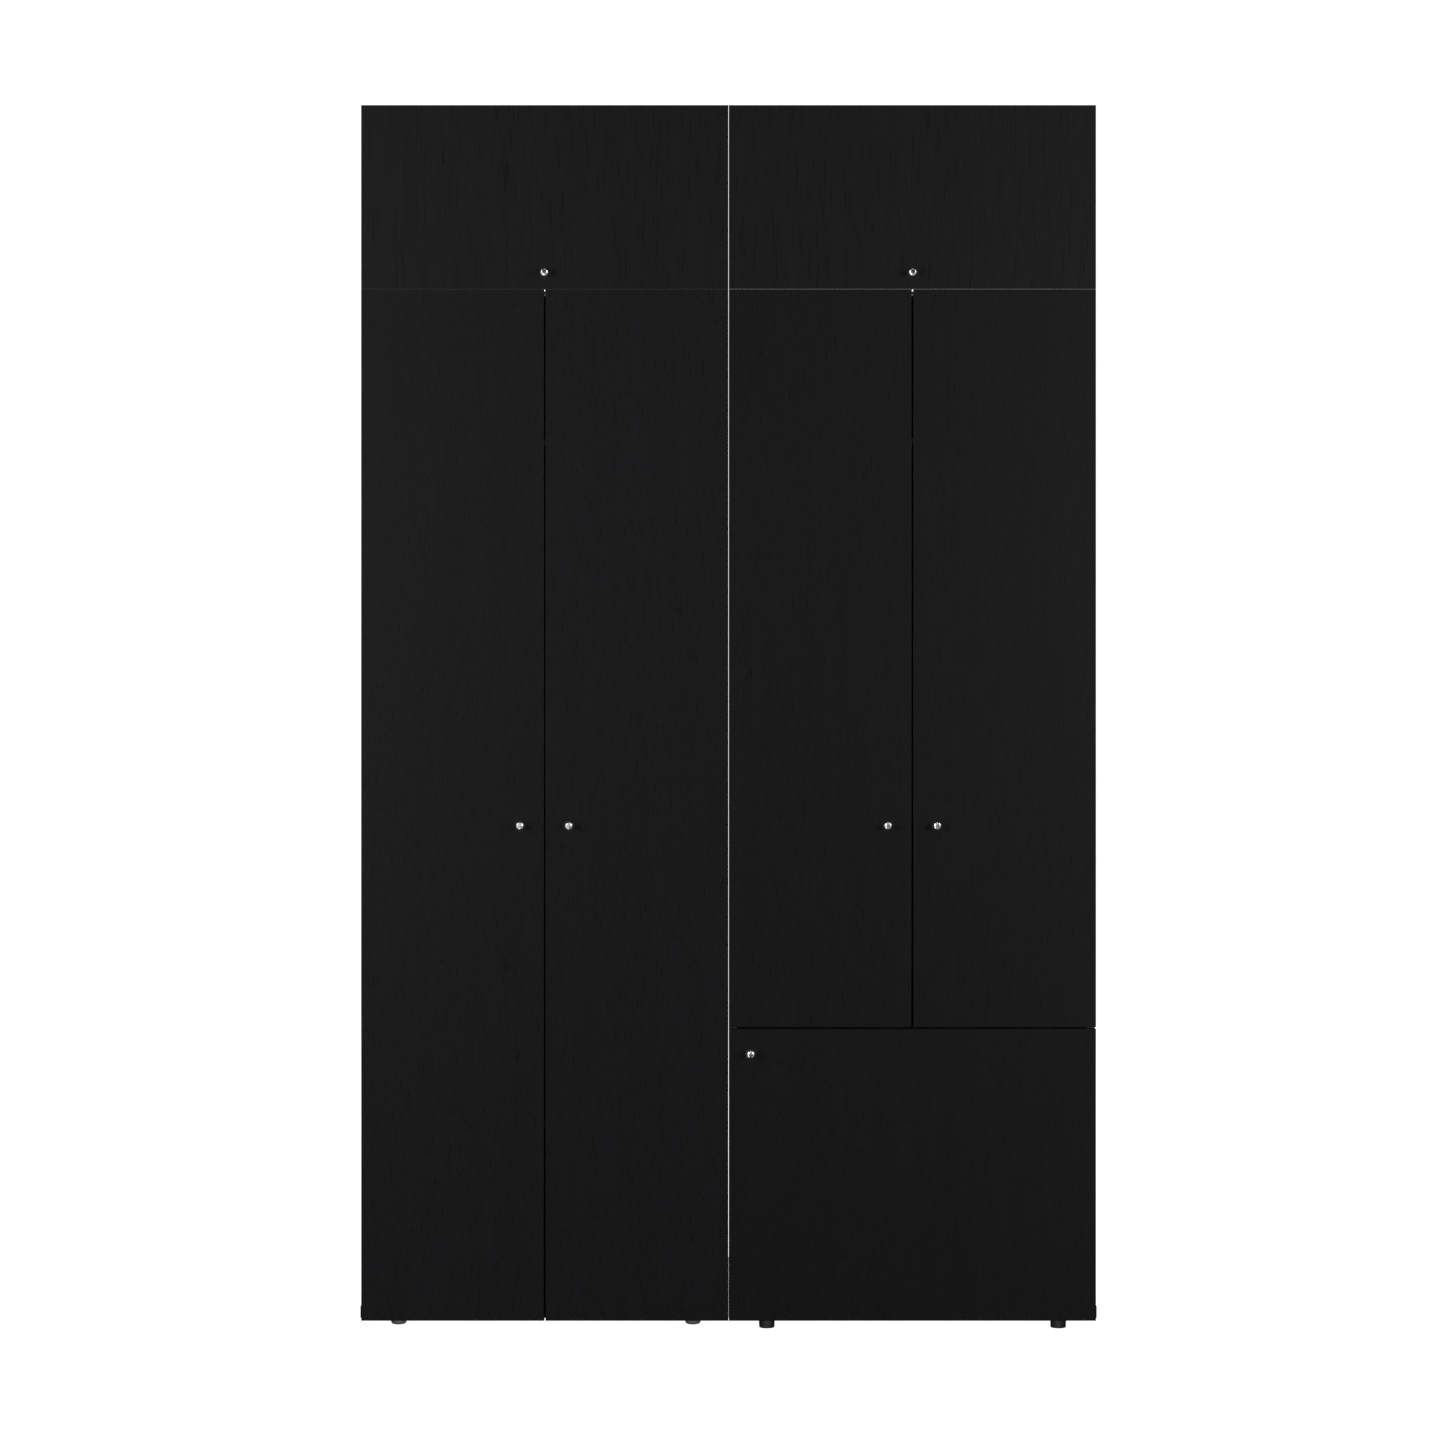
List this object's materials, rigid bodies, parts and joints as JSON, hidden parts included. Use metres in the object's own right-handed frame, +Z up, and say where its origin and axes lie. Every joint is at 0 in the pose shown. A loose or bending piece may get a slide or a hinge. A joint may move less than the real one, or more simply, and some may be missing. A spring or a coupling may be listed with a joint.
{
  "type": "wardrobe with doors",
  "caption": "Tall black wardrobe of joined columns with hinged doors, a wide low door and lift-up flaps on top cabinets, on short feet.",
  "frame": {"origin": "on the floor, in the middle of the width and of the depth from knob faces to back", "axes": "+Z up, front faces -Y, +X to the right of someone facing the doors"},
  "size_m": [1.547, 0.622, 2.571],
  "materials": {
    "front_board": "black melamine-faced board with a fine upright woodgrain, low gloss",
    "carcass_board": "black melamine-faced board, low gloss, edge-banded",
    "back_hardboard": "thin lacquered black hardboard",
    "knob_steel": "turned, satin",
    "strut_rod_steel": "ground and chromed",
    "strut_tube_paint": "black semi-gloss paint",
    "hinge_nickel": "nickel plated",
    "rail_chrome": "chromed oval tube",
    "left_foot_plastic": "dark grey moulded",
    "right_foot_plastic": "black moulded"
  },
  "bodies": {
    "root": {"left_back_left_foot": "left_foot_plastic", "left_back_right_foot": "left_foot_plastic", "left_base_board": "carcass_board", "left_cabinet_back_panel": "back_hardboard", "left_cabinet_bottom_board": "carcass_board", "left_cabinet_left_side": "carcass_board", "left_cabinet_right_side": "carcass_board", "left_cabinet_top_board": "carcass_board", "left_carcass_back_panel": "back_hardboard", "left_carcass_left_side": "carcass_board", "left_carcass_right_side": "carcass_board", "left_carcass_top_board": "carcass_board", "left_column_left_door_hinge_arm": "hinge_nickel", "left_column_right_door_hinge_arm": "hinge_nickel", "left_flap_hinge_arm": "hinge_nickel", "left_front_left_foot": "left_foot_plastic", "left_front_right_foot": "left_foot_plastic", "left_hanging_rail": "rail_chrome", "left_hat_shelf": "carcass_board", "left_low_shelf": "carcass_board", "right_back_left_foot": "right_foot_plastic", "right_back_right_foot": "right_foot_plastic", "right_base_board": "carcass_board", "right_cabinet_back_panel": "back_hardboard", "right_cabinet_bottom_board": "carcass_board", "right_cabinet_left_side": "carcass_board", "right_cabinet_right_side": "carcass_board", "right_cabinet_top_board": "carcass_board", "right_carcass_back_panel": "back_hardboard", "right_carcass_left_side": "carcass_board", "right_carcass_right_side": "carcass_board", "right_carcass_top_board": "carcass_board", "right_column_left_door_hinge_arm": "hinge_nickel", "right_column_low_door_hinge_arm": "hinge_nickel", "right_column_right_door_hinge_arm": "hinge_nickel", "right_divider_board": "carcass_board", "right_flap_hinge_arm": "hinge_nickel", "right_front_left_foot": "right_foot_plastic", "right_front_right_foot": "right_foot_plastic", "right_hanging_rail": "rail_chrome", "right_hat_shelf": "carcass_board", "right_low_shelf": "carcass_board"},
    "left_column_left_door": {"left_column_left_door": "front_board", "left_column_left_door_knob": "knob_steel"},
    "left_column_right_door": {"left_column_right_door": "front_board", "left_column_right_door_knob": "knob_steel"},
    "right_column_left_door": {"right_column_left_door": "front_board", "right_column_left_door_knob": "knob_steel"},
    "right_column_right_door": {"right_column_right_door": "front_board", "right_column_right_door_knob": "knob_steel"},
    "right_column_low_door": {"right_column_low_door": "front_board", "right_column_low_door_knob": "knob_steel"},
    "left_flap": {"left_flap": "front_board", "left_flap_knob": "knob_steel"},
    "right_flap": {"right_flap": "front_board", "right_flap_knob": "knob_steel"},
    "left_strut_tube": {"left_flap_strut_tube": "strut_tube_paint"},
    "left_strut_rod": {"left_flap_strut_rod": "strut_rod_steel"},
    "right_strut_tube": {"right_flap_strut_tube": "strut_tube_paint"},
    "right_strut_rod": {"right_flap_strut_rod": "strut_rod_steel"}
  },
  "joints": [
    {"name": "left_column_left_door_hinge", "type": "hinge", "parent": "root", "child": "left_column_left_door", "pos_m": [-0.7695, -0.289, 0.025], "axis": [0, 0, -1], "range_deg": [0, 110]},
    {"name": "left_column_right_door_hinge", "type": "hinge", "parent": "root", "child": "left_column_right_door", "pos_m": [-0.0005, -0.289, 0.025], "axis": [0, 0, 1], "range_deg": [0, 85]},
    {"name": "right_column_left_door_hinge", "type": "hinge", "parent": "root", "child": "right_column_left_door", "pos_m": [0.0005, -0.289, 0.025], "axis": [0, 0, -1], "range_deg": [0, 85]},
    {"name": "right_column_right_door_hinge", "type": "hinge", "parent": "root", "child": "right_column_right_door", "pos_m": [0.7695, -0.289, 0.025], "axis": [0, 0, 1], "range_deg": [0, 110]},
    {"name": "right_column_low_door_hinge", "type": "hinge", "parent": "root", "child": "right_column_low_door", "pos_m": [0.7695, -0.289, 0.025], "axis": [0, 0, 1], "range_deg": [0, 110]},
    {"name": "left_flap_hinge", "type": "hinge", "parent": "root", "child": "left_flap", "pos_m": [-0.385, -0.289, 2.571], "axis": [-1, 0, 0], "range_deg": [0, 80]},
    {"name": "left_strut_pivot", "type": "hinge", "parent": "root", "child": "left_strut_tube", "pos_m": [-0.7375, -0.059, 2.521], "axis": [1, 0, 0], "range_deg": [0, 2.4]},
    {"name": "left_strut_slide", "type": "slide", "parent": "left_strut_tube", "child": "left_strut_rod", "axis": [0, -0.9971, 0.0767], "range_m": [0, 0.0635]},
    {"name": "right_flap_hinge", "type": "hinge", "parent": "root", "child": "right_flap", "pos_m": [0.385, -0.289, 2.571], "axis": [-1, 0, 0], "range_deg": [0, 80]},
    {"name": "right_strut_pivot", "type": "hinge", "parent": "root", "child": "right_strut_tube", "pos_m": [0.0325, -0.059, 2.521], "axis": [1, 0, 0], "range_deg": [0, 2.4]},
    {"name": "right_strut_slide", "type": "slide", "parent": "right_strut_tube", "child": "right_strut_rod", "axis": [0, -0.9971, 0.0767], "range_m": [0, 0.0635]}
  ],
  "couplings": [
    {"joint": "left_strut_pivot", "follows": "left_flap_hinge", "ratio": 0.028791},
    {"joint": "left_strut_slide", "follows": "left_flap_hinge", "m_per_rad": 0.045111},
    {"joint": "right_strut_pivot", "follows": "right_flap_hinge", "ratio": 0.028791},
    {"joint": "right_strut_slide", "follows": "right_flap_hinge", "m_per_rad": 0.045111}
  ]
}
